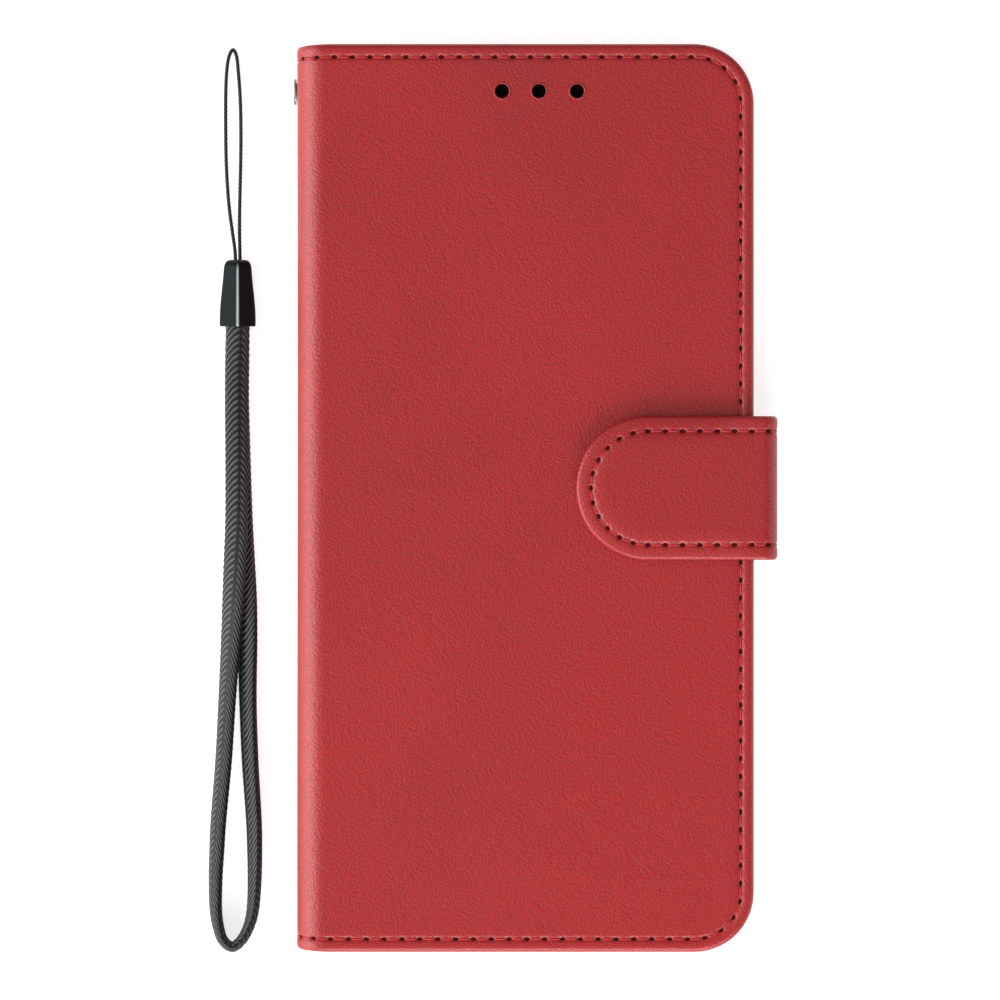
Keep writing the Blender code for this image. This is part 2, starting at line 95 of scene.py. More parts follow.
def addNode(tree, kind, settings=None, inputs=None, links=None):
    # one node: its settings, the values on its sockets, and links into it as {socket: (node, output)}
    node = tree.nodes.new(kind)
    for key, value in (settings or {}).items():
        setattr(node, key, value)
    for key, value in (inputs or {}).items():
        node.inputs[key].default_value = value
    for key, (source, output) in (links or {}).items():
        tree.links.new(source.outputs[output], node.inputs[key])
    return node


def newMaterial(name, roughness, metallic=0.0, specular=0.5):
    material = bpy.data.materials.new(name)
    material.use_nodes = True
    shader = material.node_tree.nodes["Principled BSDF"]
    shader.inputs["Roughness"].default_value = roughness
    shader.inputs["Metallic"].default_value = metallic
    shader.inputs["Specular IOR Level"].default_value = specular
    return material, material.node_tree, shader


def colourRamp(tree, factor, stops):
    ramp = addNode(tree, "ShaderNodeValToRGB", links={"Fac": factor})
    while len(ramp.color_ramp.elements) < len(stops):
        ramp.color_ramp.elements.new(0.5)
    for element, (place, colour) in zip(ramp.color_ramp.elements, stops):
        element.position = place
        element.color = colour if isinstance(colour, tuple) else (colour,) * 3 + (1,)
    return ramp


def joinBump(tree, shader, layers):
    # layers are (height output, strength, distance in mm), stacked one on another
    last = None
    for height, strength, distance in layers:
        links = {"Height": height}
        if last:
            links["Normal"] = (last, "Normal")
        last = addNode(tree, "ShaderNodeBump", inputs={"Strength": strength, "Distance": distance * mm},
                       links=links)
    tree.links.new(last.outputs["Normal"], shader.inputs["Normal"])


# materials

leatherLook = {"light": "#b2080d", "dark": "#a8060b", "grain": 0.44, "roughness": 0.38, "relief": 0.5}
liningLook = {"light": "#9c2425", "dark": "#8f1f20", "grain": 0.7, "roughness": 0.6, "relief": 0.5}


def embossedLeather(name, look):
    # PU leather, embossed with a fine pebble grain: pebble tops catch the light through the bump, and
    # the valleys are painted darker as painted shade
    material, tree, shader = newMaterial(name, look["roughness"], specular=0.78)
    place = addNode(tree, "ShaderNodeTexCoord")
    spot = (place, "Object")
    wander = addNode(tree, "ShaderNodeTexNoise", inputs={"Scale": 1 / (1.1 * mm), "Detail": 2.0},
                     links={"Vector": spot})
    # the wander bends the rows of pebbles
    shifted = addNode(tree, "ShaderNodeVectorMath", {"operation": "MULTIPLY_ADD"},
                      {1: (0.25 * mm,) * 3}, {0: (wander, "Color"), 2: spot})
    grain = addNode(tree, "ShaderNodeTexVoronoi", {"feature": "SMOOTH_F1"},
                    {"Scale": 1 / (look["grain"] * mm), "Smoothness": 0.3, "Randomness": 1.0},
                    {"Vector": (shifted, 0)})
    pores = addNode(tree, "ShaderNodeTexNoise", inputs={"Scale": 1 / (0.3 * mm), "Detail": 2.0},
                    links={"Vector": spot})
    wear = addNode(tree, "ShaderNodeTexNoise", inputs={"Scale": 1 / (30 * mm), "Detail": 2.0},
                   links={"Vector": spot})
    tint = colourRamp(tree, (wear, "Fac"),
                      [(0.3, hexColour(look["dark"])), (0.7, hexColour(look["light"]))])
    # painted shade: the base colour is darkened to 0.74 in the grain's valleys
    paintedValleyShade = colourRamp(tree, (grain, "Distance"), [(0.15, 1.0), (0.7, 0.74)])
    shade = addNode(tree, "ShaderNodeMix", {"data_type": "RGBA", "blend_type": "MULTIPLY"},
                    {"Factor": 1.0}, {"A": (tint, "Color"), "B": (paintedValleyShade, "Color")})
    tree.links.new(shade.outputs["Result"], shader.inputs["Base Color"])
    gloss = addNode(tree, "ShaderNodeMapRange",
                    inputs={"From Max": 0.7, "To Min": look["roughness"] - 0.05,
                            "To Max": look["roughness"] + 0.12},
                    links={"Value": (grain, "Distance")})
    tree.links.new(gloss.outputs["Result"], shader.inputs["Roughness"])
    joinBump(tree, shader, [((grain, "Distance"), look["relief"], -0.13), ((pores, "Fac"), 0.35, 0.05)])
    return material


def waxedThread(name, colour, specular=0.35):
    # twisted polyester sewing thread: matt, with a fine twist across each stitch
    material, tree, shader = newMaterial(name, 0.62, specular=specular)
    place = addNode(tree, "ShaderNodeTexCoord")
    twist = addNode(tree, "ShaderNodeTexNoise", inputs={"Scale": 1 / (0.16 * mm), "Detail": 2.0},
                    links={"Vector": (place, "Object")})
    tint = colourRamp(tree, (twist, "Fac"), [(0.3, hexColour(colour[0])), (0.7, hexColour(colour[1]))])
    tree.links.new(tint.outputs["Color"], shader.inputs["Base Color"])
    shader.inputs["Sheen Weight"].default_value = 0.03
    joinBump(tree, shader, [((twist, "Fac"), 0.5, 0.08)])
    return material


def braidedNylon(name, light, dark, yarn=0.12):
    # braided nylon: each rib is a bundle of fine filaments; the crests are painted lighter as a
    # highlight and the valleys near-black as painted shade
    material, tree, shader = newMaterial(name, 0.5, specular=0.4)
    place = addNode(tree, "ShaderNodeTexCoord")
    crest = addNode(tree, "ShaderNodeAttribute", {"attribute_name": "crest"})
    fibre = addNode(tree, "ShaderNodeTexNoise", inputs={"Scale": 1 / (yarn * mm), "Detail": 3.0},
                    links={"Vector": (place, "Object")})
    # painted highlight and shade: the crest mask runs from near-black in the valleys to grey on the rib
    # tops
    tint = colourRamp(tree, (crest, "Fac"), [(0.68, hexColour(dark)), (1.0, hexColour(light))])
    tree.links.new(tint.outputs["Color"], shader.inputs["Base Color"])
    shader.inputs["Sheen Weight"].default_value = 0.1
    joinBump(tree, shader, [((fibre, "Fac"), 0.35, 0.06)])
    return material


def mouldedPlastic(name, colour, roughness, texture, specular=0.5, ridgeHighlight=None):
    # injection moulded: an even colour with a spark-eroded mould texture and slight unevenness;
    # where the piece carries a crest, its sharp edge is painted paler as a fine highlight line
    material, tree, shader = newMaterial(name, roughness, specular=specular)
    place = addNode(tree, "ShaderNodeTexCoord")
    spark = addNode(tree, "ShaderNodeTexNoise", inputs={"Scale": 1 / (0.25 * mm), "Detail": 4.0},
                    links={"Vector": (place, "Object")})
    wave = addNode(tree, "ShaderNodeTexNoise", inputs={"Scale": 1 / (9 * mm), "Detail": 1.0},
                   links={"Vector": (place, "Object")})
    tint = colourRamp(tree, (wave, "Fac"), [(0.3, hexColour(colour[0])), (0.7, hexColour(colour[1]))])
    tree.links.new(tint.outputs["Color"], shader.inputs["Base Color"])
    if ridgeHighlight:
        # painted highlight: the crest mask mixes the base colour towards the pale highlight colour
        crest = addNode(tree, "ShaderNodeAttribute", {"attribute_name": "crest"})
        ridgeHighlightMix = addNode(tree, "ShaderNodeMix", {"data_type": "RGBA"}, {"B": hexColour(ridgeHighlight)},
                       {"Factor": (crest, "Fac"), "A": (tint, "Color")})
        tree.links.new(ridgeHighlightMix.outputs["Result"], shader.inputs["Base Color"])
    gloss = addNode(tree, "ShaderNodeMapRange",
                    inputs={"To Min": roughness - 0.05, "To Max": roughness + 0.08},
                    links={"Value": (spark, "Fac")})
    tree.links.new(gloss.outputs["Result"], shader.inputs["Roughness"])
    joinBump(tree, shader, [((wave, "Fac"), 0.1, 0.3), ((spark, "Fac"), texture, 0.05)])
    return material


def platedMetal(name, colour, roughness):
    # plated steel, tumbled: bright, with tiny rubbing marks that break up the reflection
    material, tree, shader = newMaterial(name, roughness, metallic=1.0)
    shader.inputs["Base Color"].default_value = hexColour(colour)
    place = addNode(tree, "ShaderNodeTexCoord")
    rub = addNode(tree, "ShaderNodeTexNoise", inputs={"Scale": 1 / (0.3 * mm), "Detail": 5.0},
                  links={"Vector": (place, "Object")})
    gloss = addNode(tree, "ShaderNodeMapRange",
                    inputs={"To Min": roughness - 0.08, "To Max": roughness + 0.15},
                    links={"Value": (rub, "Fac")})
    tree.links.new(gloss.outputs["Result"], shader.inputs["Roughness"])
    joinBump(tree, shader, [((rub, "Fac"), 0.15, 0.02)])
    return material


def rawBoard(name, light, dark):
    # pressed grey-brown paperboard: short fibres lying every way
    material, tree, shader = newMaterial(name, 0.9, specular=0.2)
    place = addNode(tree, "ShaderNodeTexCoord")
    fibre = addNode(tree, "ShaderNodeTexNoise", inputs={"Scale": 1 / (0.5 * mm), "Detail": 6.0,
                    "Distortion": 1.5}, links={"Vector": (place, "Object")})
    tint = colourRamp(tree, (fibre, "Fac"), [(0.35, hexColour(dark)), (0.65, hexColour(light))])
    tree.links.new(tint.outputs["Color"], shader.inputs["Base Color"])
    joinBump(tree, shader, [((fibre, "Fac"), 0.4, 0.1)])
    return material


coverLeather = embossedLeather("embossedCoverLeather", leatherLook)
liningLeather = embossedLeather("smoothLiningLeather", liningLook)
seamThread = waxedThread("waxedSeamThread", ("#a3181c", "#c4373b"))
# needle holes: near-black red cups, painted shade for the holes
holeShade = waxedThread("needleHolePaintedShade", ("#350103", "#480204"), specular=0.08)
# the light tones are painted highlight on the crests, the dark tones painted shade in the valleys
cordNylon = braidedNylon("braidedBlackNylon", "#5d6265", "#020202")
loopNylon = braidedNylon("twistedBlackNylon", "#1c1d1f", "#050506", yarn=0.08)
# the bead's ridge gets a painted highlight line in pale grey
beadPlastic = mouldedPlastic("mouldedBeadAbs", ("#15191a", "#1b1f21"), 0.20, 0.0, specular=0.055,
                             ridgeHighlight="#cfd4d7")
trayPlastic = mouldedPlastic("mouldedTrayTpu", ("#131315", "#1a1a1c"), 0.46, 0.3)
eyeletMetal = platedMetal("platedEyeletSteel", "#8f8d89", 0.28)
magnetMetal = platedMetal("nickelPlatedMagnet", "#b5b7b9", 0.2)
greyBoard = rawBoard("pressedPaperboard", "#8b7b66", "#6b5d4b")
foamSheet = rawBoard("cutFoamSheet", "#4a4744", "#3b3836")
print("materials made")


# cover leather

backHigh = boxMm("back_skin")[1]
frontLow, frontHigh = boxMm("front_skin")
spineLow, spineHigh = boxMm("spine_skin")

cover = {
    "corner": 11.0,        # radius of the two corners away from the spine
    "edgeRound": 0.85,     # radius of the leather where it turns over the board's edge
    "seamInset": 2.4,
    "pitch": 3.3,          # one stitch and its hole
    "grooveDepth": 0.15,
    "grooveWidth": 0.45,
    "pucker": 0.27,        # extra dip at each needle hole
    "thick": 0.62,
    "spineRadius": 4.8,
    "spineTaper": 0.7,     # how far each end of the spine draws in
    "foldDepth": 4.6,      # how far down the spine the fold reaches
    "foldPast": 0.2,       # and how far past the flat face
}
foldX = spineHigh[0]       # where the spine's curve meets the flat covers
rightX = frontHigh[0]
endY = frontHigh[1]
topZ = frontHigh[2]
midZ = topZ / 2
straight = midZ - cover["spineRadius"]              # flat part of half the spine
turn = cover["spineRadius"] * pi / 2                # length of the curve
flatStart = straight + turn                         # sheet length where the flat cover starts
sheetLength = flatStart + rightX - foldX


def smoothStep(value):
    value = np.clip(value, 0, 1)
    return value * value * (3 - 2 * value)


def edgeProfile(t, rim):
    # t runs up the rim, round the edge and inwards; gives the inset from the outline and the drop
    r = cover["edgeRound"]
    wall = rim - r
    angle = np.clip((t - wall) / r, 0, pi / 2)
    inset = np.where(t > wall, r * (1 - np.cos(angle)), 0)
    inset = inset + np.maximum(t - wall - r * pi / 2, 0)
    drop = np.where(t < wall, rim - t, r * (1 - np.sin(angle)))
    return inset, drop


def foldSheet(s, drop):
    # sheet length s and depth under the face become x and z: up the spine, round the curve, across
    r = cover["spineRadius"]
    angle = np.clip((s - straight) / r, 0, pi / 2)
    x = foldX - (r - drop) * np.cos(angle) + np.maximum(s - flatStart, 0)
    z = midZ + np.minimum(s, straight) + (r - drop) * np.sin(angle)
    return x, z


def seamLength(s, y):
    # distance along the seam line, from the middle of the spine at the top edge, clockwise
    r = cover["corner"] - cover["seamInset"]
    flatS = sheetLength - cover["corner"]
    flatY = endY - cover["corner"]
    angle = np.arctan2(np.maximum(s - flatS, 1e-9), np.maximum(np.abs(y) - flatY, 1e-9))
    angle = np.where(np.abs(y) <= flatY, pi / 2, np.where(s <= flatS, 0, angle))
    along = np.minimum(s, flatS) + angle * r + np.maximum(flatY - np.abs(y), 0)
    whole = 2 * (flatS + r * pi / 2 + flatY)
    return np.where(y >= 0, along, whole - along), whole


def seamRelief(inset, beats, look):
    # a groove whose depth swells at each hole (beats counts the holes along the seam), and a soft
    # roll between the seam and the edge
    across = (inset - look["seamInset"]) / look["grooveWidth"]
    dip = np.exp(-across ** 2)
    beat = 0.5 + 0.5 * np.cos(2 * pi * beats)
    roll = 0.05 * np.exp(-((inset - look["seamInset"] * 0.5) / 0.8) ** 2)
    return dip * (look["grooveDepth"] + look["pucker"] * beat ** 4) - roll


def softWaves(s, y, amount):
    # slow hollows and swellings of leather glued on board
    return amount * (np.sin(s * 0.061 + 0.7) * np.sin(y * 0.037 + 0.4)
                     + 0.5 * np.sin(s * 0.13 + y * 0.045 + 1.1))


def spineDraw(s):
    # the spine's ends draw in: 1 on the flat cover, falling smoothly to the middle of the spine
    return 1 - cover["spineTaper"] / endY * (1 - smoothStep(s / (flatStart + 1.5)))


def edgeSteps(rim):
    # path lengths along the edge profile: close together at the round and at the seam
    r = cover["edgeRound"]
    wall = rim - r
    bend = wall + r * pi / 2
    seam = cover["seamInset"] - r
    return np.r_[np.linspace(0, wall, 4)[:-1], np.linspace(wall, bend, 6)[:-1],
                 np.linspace(bend, bend + seam - 0.9, 3)[:-1],
                 np.linspace(bend + seam - 0.9, bend + seam + 0.9, 13)[:-1],
                 np.linspace(bend + seam + 0.9, bend + cover["corner"] - r, 8)]


def coverSheet(name, rim, upper):
    # grid over the sheet; square corners are turned to round ones by keeping the larger distance
    # from the corner's centre as radius and the ratio of the two distances as angle
    look = cover
    steps = edgeSteps(rim)
    reach = steps[-1]                                    # path length that ends at the corner's centre
    flatS = sheetLength - look["corner"]
    flatY = endY - look["corner"]
    spacing = look["pitch"] / 5                          # a whole number of steps from hole to hole
    alongS = np.r_[np.arange(0, flatS - spacing / 3, spacing), flatS]
    alongY = np.r_[np.arange(-flatY, flatY - spacing / 3, spacing), flatY]
    a = np.r_[alongS - flatS, (reach - steps)[::-1][1:]]  # over 0: past the corner's centre
    b = np.r_[-(reach - steps)[:-1] - flatY, alongY, (reach - steps)[::-1][1:] + flatY]
    a, b = np.meshgrid(a, b, indexing="ij")
    pastA = np.maximum(a, 0)
    pastB = np.maximum(np.abs(b) - flatY, 0)
    far = np.maximum(pastA, pastB)
    ratio = np.minimum(pastA, pastB) / np.maximum(far, 1e-9)
    angle = np.where(pastA >= pastB, pi / 4 * ratio, pi / 2 - pi / 4 * ratio)
    inset, drop = edgeProfile(reach - far, rim)
    radius = np.where(far > 0, look["corner"] - inset, 0)
    s = np.minimum(a, 0) + flatS + radius * np.cos(angle) * (far > 0)
    y = np.clip(b, -flatY, flatY) + np.sign(b) * radius * np.sin(angle) * (far > 0)
    deep = np.where(far > 0, inset, look["corner"])
    along, _ = seamLength(s, y)
    drop = drop + np.where(drop < 0.9, seamRelief(deep, along / look["pitch"], look), 0)
    calm = np.clip((deep - 3) / 5, 0, 1)
    y = y * spineDraw(s)
    drop = drop + 0.05 * calm + softWaves(s, y, 0.035) * calm
    x, z = foldSheet(s, drop)
    if not upper:
        z = topZ - z
    points = np.stack([x, y, z], axis=-1).reshape(-1, 3)
    faces = gridFaces(*a.shape)
    piece = meshPiece(name, points, faces[:, ::-1] if upper else faces, coverLeather)
    shell = piece.modifiers.new("thickness", "SOLIDIFY")
    shell.thickness = look["thick"] * mm
    shell.offset = -1
    return piece


def punch(piece, cutters):  # clean holes through a sheet
    for cutter in cutters:
        hole = piece.modifiers.new("hole", "BOOLEAN")
        hole.operation = "DIFFERENCE"
        hole.object = cutter
        hole.solver = "EXACT"
    bpy.context.view_layer.update()
    applyModifiers(piece)
    for cutter in cutters:
        bpy.data.objects.remove(cutter, do_unlink=True)


def post(outline, low, high, axis="z"):
    # straight prism over an outline, used to punch a hole
    count = len(outline)
    outline = np.asarray(outline)
    low = np.column_stack([outline, np.full(count, low)])
    high = np.column_stack([outline, np.full(count, high)])
    points = np.vstack([low, high])
    ring = np.arange(count)
    sides = np.column_stack([ring, np.roll(ring, -1), np.roll(ring, -1) + count, ring + count])
    if axis == "x":
        points = points[:, [2, 0, 1]]
    mesh = bpy.data.meshes.new("post")
    faces = sides.tolist() + [ring[::-1].tolist(), (ring + count).tolist()]
    mesh.from_pydata((points * mm).tolist(), [], faces)
    piece = bpy.data.objects.new("post", mesh)
    bpy.context.collection.objects.link(piece)
    return piece


def ringOutline(x, y, radius, count=32):
    angle = np.linspace(0, 2 * pi, count, endpoint=False)
    return np.column_stack([x + radius * np.cos(angle), y + radius * np.sin(angle)])


def roundedOutline(low, high, radius, count=8):
    # rectangle with a quarter circle at each corner
    angle = np.linspace(0, pi / 2, count + 1)
    centres = [(high[0] - radius, high[1] - radius, 0), (low[0] + radius, high[1] - radius, pi / 2),
               (low[0] + radius, low[1] + radius, pi), (high[0] - radius, low[1] + radius, 3 * pi / 2)]
    return np.vstack([np.column_stack([x + radius * np.cos(angle + start),
                                       y + radius * np.sin(angle + start)])
                      for x, y, start in centres])


speakers = {"x": (-6.2, 0.65, 7.7), "y": 75.3, "radius": 1.4, "lip": 0.17, "lipOut": 0.06}
cameraWindow = {"low": (10.6, 49.0), "high": (35.0, 78.0), "radius": 5.0}
eyeletHole = 1.85
eyeletLow, eyeletHigh = boxMm("eyelet_barrel")
eyeletY, eyeletZ = (eyeletLow[1:] + eyeletHigh[1:]) / 2


def eyeletPost():
    return post(ringOutline(eyeletY, eyeletZ, eyeletHole), spineLow[0] - 2, spineLow[0] + 2, "x")


frontLeather = coverSheet("front_leather", topZ - frontLow[2], True)
punch(frontLeather, [post(ringOutline(x, speakers["y"], speakers["radius"]), topZ - 3, topZ + 3)
                     for x in speakers["x"]] + [eyeletPost()])
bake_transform(frontLeather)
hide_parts("front_skin", "spine_skin")

backLeather = coverSheet("back_leather", backHigh[2], False)
window = roundedOutline(cameraWindow["low"], cameraWindow["high"], cameraWindow["radius"])
punch(backLeather, [post(window, -3, 1.6), eyeletPost()])
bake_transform(backLeather)
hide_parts("back_skin")


def holeRims(name, body, look):
    # the heat-cut edge of each speaker hole: a thin rolled lip, drawn as a ring of small circles
    turns, sides = 40, 10
    around = np.linspace(0, 2 * pi, turns, endpoint=False)[:, None]
    tube = np.linspace(0, 2 * pi, sides, endpoint=False)[None]
    reach = look["radius"] + look["lipOut"] + look["lip"] * np.cos(tube)
    height = np.broadcast_to(look["lip"] * np.sin(tube), (turns, sides))
    lip = np.stack([reach * np.cos(around), reach * np.sin(around), height], axis=-1).reshape(-1, 3)
    centres = np.array([(x, look["y"], topZ - 0.10) for x in look["x"]])
    points = (centres[:, None] + lip[None]).reshape(-1, 3)
    number = np.arange(turns * sides).reshape(turns, sides)
    number = np.vstack([number, number[:1]])  # the last circle joins the first
    beside = np.roll(number, -1, axis=1)
    ring = np.stack([number[:-1], number[1:], beside[1:], beside[:-1]], axis=-1).reshape(-1, 4)
    faces = (ring[None] + turns * sides * np.arange(len(centres))[:, None, None]).reshape(-1, 4)
    piece = meshPiece(name, points, faces, coverLeather)
    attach(piece, body)


holeRims("speaker_hole_rims", "front_cover", speakers)
print("cover leather made")


# stitches

stitch = {"radius": 0.15, "gap": 0.95, "sink": 0.34, "holeLength": 1.08, "holeWidth": 0.78}


def stitchForm(length, radius, sink):
    # a short round thread along X whose ends dive: height falls as the sixth power of the distance
    rings, sides = 9, 8
    u = np.linspace(-1, 1, rings)[:, None]
    angle = np.linspace(0, 2 * pi, sides, endpoint=False)[None]
    size = radius * np.sqrt(np.clip(1 - 0.55 * u ** 8, 0, 1))
    x = np.broadcast_to(u * length / 2, (rings, sides))
    y = size * 1.1 * np.cos(angle)
    z = size * np.sin(angle) - sink * u ** 6
    ends = np.array([[-length / 2 - 0.03, 0, -sink], [length / 2 + 0.03, 0, -sink]])
    points = np.vstack([np.stack([x, y, z], axis=-1).reshape(-1, 3), ends])
    quads = gridFaces(rings, sides, closeColumns=True)[:, ::-1]
    ring = np.arange(sides)
    first = np.column_stack([np.full(sides, rings * sides), np.roll(ring, -1), ring])
    last = np.column_stack([np.full(sides, rings * sides + 1), ring, np.roll(ring, -1)])
    last[:, 1:] += (rings - 1) * sides
    return points, quads, np.vstack([first, last])


def holeForm(length, width):
    # a shallow oval cup, coloured near-black as painted shade of the needle hole: a rim ring, and a
    # floor ring lower and smaller
    sides = 10
    angle = np.linspace(0, 2 * pi, sides, endpoint=False)
    rings = [(1.0, -0.02), (0.8, 0.035), (0.5, -0.02)]
    points = [np.column_stack([size * length / 2 * np.cos(angle), size * width / 2 * np.sin(angle),
                               np.full(sides, height)]) for size, height in rings]
    points = np.vstack(points + [[[0, 0, -0.03]], [[0, 0, -0.2]]])
    quads = gridFaces(len(rings), sides, closeColumns=True)
    ring = np.arange(sides)
    floor = len(rings) * sides
    last = floor - sides
    inner = np.column_stack([np.full(sides, floor), ring + last, np.roll(ring, -1) + last])
    under = np.column_stack([np.full(sides, floor + 1), np.roll(ring, -1), ring])
    return points, quads, np.vstack([inner, under])


def repeatForm(name, form, place, along, up, material):
    # copies of a small form, turned so that its X lies along the seam and its Z out of the surface
    points, quads, triangles = form
    side = np.cross(up, along)
    turned = (place[:, None] + points[None, :, 0:1] * along[:, None]
              + points[None, :, 1:2] * side[:, None]
              + points[None, :, 2:3] * up[:, None]).reshape(-1, 3)
    offset = np.arange(len(place))[:, None, None] * len(points)
    quads = (quads[None] + offset).reshape(-1, 4)
    triangles = (triangles[None] + offset).reshape(-1, 3)
    mesh = bpy.data.meshes.new(name)
    mesh.from_pydata((turned * mm).tolist(), [], quads.tolist() + triangles.tolist())
    mesh.polygons.foreach_set("use_smooth", np.full(len(mesh.polygons), True))
    mesh.materials.append(material)
    piece = bpy.data.objects.new(name, mesh)
    bpy.context.collection.objects.link(piece)
    return piece


whole = float(seamLength(np.array(0.0), np.array(endY))[1])


def coverSeamPoint(along, sink):
    # a place on the cover's seam line, from its length along the seam
    r = cover["corner"] - cover["seamInset"]
    flatS = sheetLength - cover["corner"]
    flatY = endY - cover["corner"]
    side = np.where(along <= whole / 2, 1, -1)
    run = np.where(side > 0, along, whole - along)
    angle = np.clip((run - flatS) / r, 0, pi / 2)
    s = np.minimum(run, flatS) + r * np.sin(angle)
    y = side * (flatY + r * np.cos(angle) - np.maximum(run - flatS - r * pi / 2, 0))
    y = y * spineDraw(s)
    x, z = foldSheet(s, np.full_like(s, sink))
    return np.stack([x, y, z], axis=-1)


def frameAlong(function, along, sink):
    # place, direction and outward normal at each length, from nearby points of the line
    step = 0.02
    place = function(along, sink)
    forward = function(along + step, sink) - function(along - step, sink)
    forward /= np.linalg.norm(forward, axis=1)[:, None]
    up = function(along, sink - 0.5) - place
    up /= np.linalg.norm(up, axis=1)[:, None]
    return place, forward, up


holes = np.arange(0, whole, cover["pitch"])
middles = holes[:-1] + cover["pitch"] / 2
# the seam's parts ride on the body that they lie on, split where the flat cover starts
onSpine = {"holes": (holes < flatStart - 1.0) | (holes > whole - flatStart + 1.0),
           "middles": (middles < flatStart - 1.0) | (middles > whole - flatStart + 1.0)}
threadLength = cover["pitch"] - stitch["gap"]
seams = {"front": ("front_cover", "front_seam_thread", "spine_thread_top"),
         "back": ("back_cover", "back_seam_thread", "spine_thread_bottom")}
for side, (body, coverThread, spineThread) in seams.items():
    for part in ("cover", "spine"):
        pickHoles = onSpine["holes"] == (part == "spine")
        pickMiddles = onSpine["middles"] == (part == "spine")
        threads = frameAlong(coverSeamPoint, middles[pickMiddles], cover["grooveDepth"] - 0.03)
        dots = frameAlong(coverSeamPoint, holes[pickHoles], cover["grooveDepth"] + 0.06)
        if side == "back":  # the lower cover is the upper one seen in a level mirror
            for group in (threads, dots):
                group[0][:, 2] = topZ - group[0][:, 2]
                group[1][:, 2] *= -1
                group[2][:, 2] *= -1
        rider = body if part == "cover" else "spine"
        rows = [("stitches", threads,
                 stitchForm(threadLength, stitch["radius"], stitch["sink"]), seamThread),
                ("needle_holes", dots,
                 holeForm(stitch["holeLength"], stitch["holeWidth"]), holeShade)]
        for label, (place, forward, up), form, material in rows:
            piece = repeatForm(f"{side}_{part}_{label}", form, place, forward, up, material)
            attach(piece, rider)
            if label == "stitches":
                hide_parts(coverThread if part == "cover" else spineThread)
print("cover stitches made")


# clasp

tabLow, tabHigh = boxMm("clasp_tab_outer")
bridgeLow, bridgeHigh = boxMm("clasp_bridge_outer")
clasp = {
    "bend": 2.6,
    "pitch": 3.2,
    "roundPitch": 2.75,  # the stitches are shorter round the tip
    "seamInset": 2.8,
    "grooveDepth": 0.15,
    "grooveWidth": 0.45,
    "pucker": 0.27,
    "edgeRound": 0.7,
    "edgeWall": 0.25,    # straight edge under the round, on the tab
    "crown": 0.45,       # how much higher the tab's middle stands than its sewn edge
    "crownReach": 5.5,   # distance from the edge to the full height
    "wall": 0.62,
}
claspY = (tabLow[1] + tabHigh[1]) / 2
half = (tabHigh[1] - tabLow[1]) / 2
tipX = tabLow[0]
claspTop = tabHigh[2]
strapLow = bridgeLow[2]
bendX = bridgeHigh[0] - clasp["bend"]
rise = claspTop - strapLow - 2 * clasp["bend"]
bendLength = clasp["bend"] * pi / 2
tabLength = bendX - tipX                  # straight top, from the tip to the upper bend
strapLength = tabLength + 2 * bendLength + rise + bendX - bridgeLow[0]
splitAt = tabLength + bendLength + rise / 2


def foldStrap(s, drop):
    # strap length from the tip: along the top, round the upper bend, down, round the lower bend, back
    r = clasp["bend"]
    out = r - drop
    first = np.clip((s - tabLength) / r, 0, pi / 2)
    down = np.clip(s - tabLength - bendLength, 0, rise)
    second = np.clip((s - tabLength - bendLength - rise) / r, 0, pi / 2)
    back = np.maximum(s - tabLength - 2 * bendLength - rise, 0)
    x = tipX + np.minimum(s, tabLength) + out * np.sin(first) * np.cos(second) - back
    z = np.where(second > 0, strapLow + r - out * np.sin(second),
                 claspTop - r + out * np.cos(first) - down)
    return x, z


def claspSeamLength(s, y):
    # distance along the clasp's seam from the middle of the tip, positive towards +Y
    r = half - clasp["seamInset"]
    across = y - claspY
    angle = np.where(s < half, np.arctan2(np.abs(across), np.maximum(half - s, 1e-9)), pi / 2)
    return np.sign(across) * (r * angle + np.maximum(s - half, 0))


arcHoles = round((half - clasp["seamInset"]) * pi / 2 / clasp["roundPitch"])
arcLength = (half - clasp["seamInset"]) * pi / 2


def claspBeats(along):
    # number of holes from the tip: one spacing round the tip, another along the straight sides
    run = np.abs(along)
    return np.sign(along) * (np.minimum(run, arcLength) / arcLength * arcHoles
                             + np.maximum(run - arcLength, 0) / clasp["pitch"])


def claspShape(s, inset):
    # drop under the strap's outer face: the tab is thin at its sewn edge and crowned over the magnet
    look = clasp
    fade = smoothStep((tabLength - 0.5 - s) / 9)
    return fade * look["crown"] * (1 - smoothStep(inset / look["crownReach"])), fade


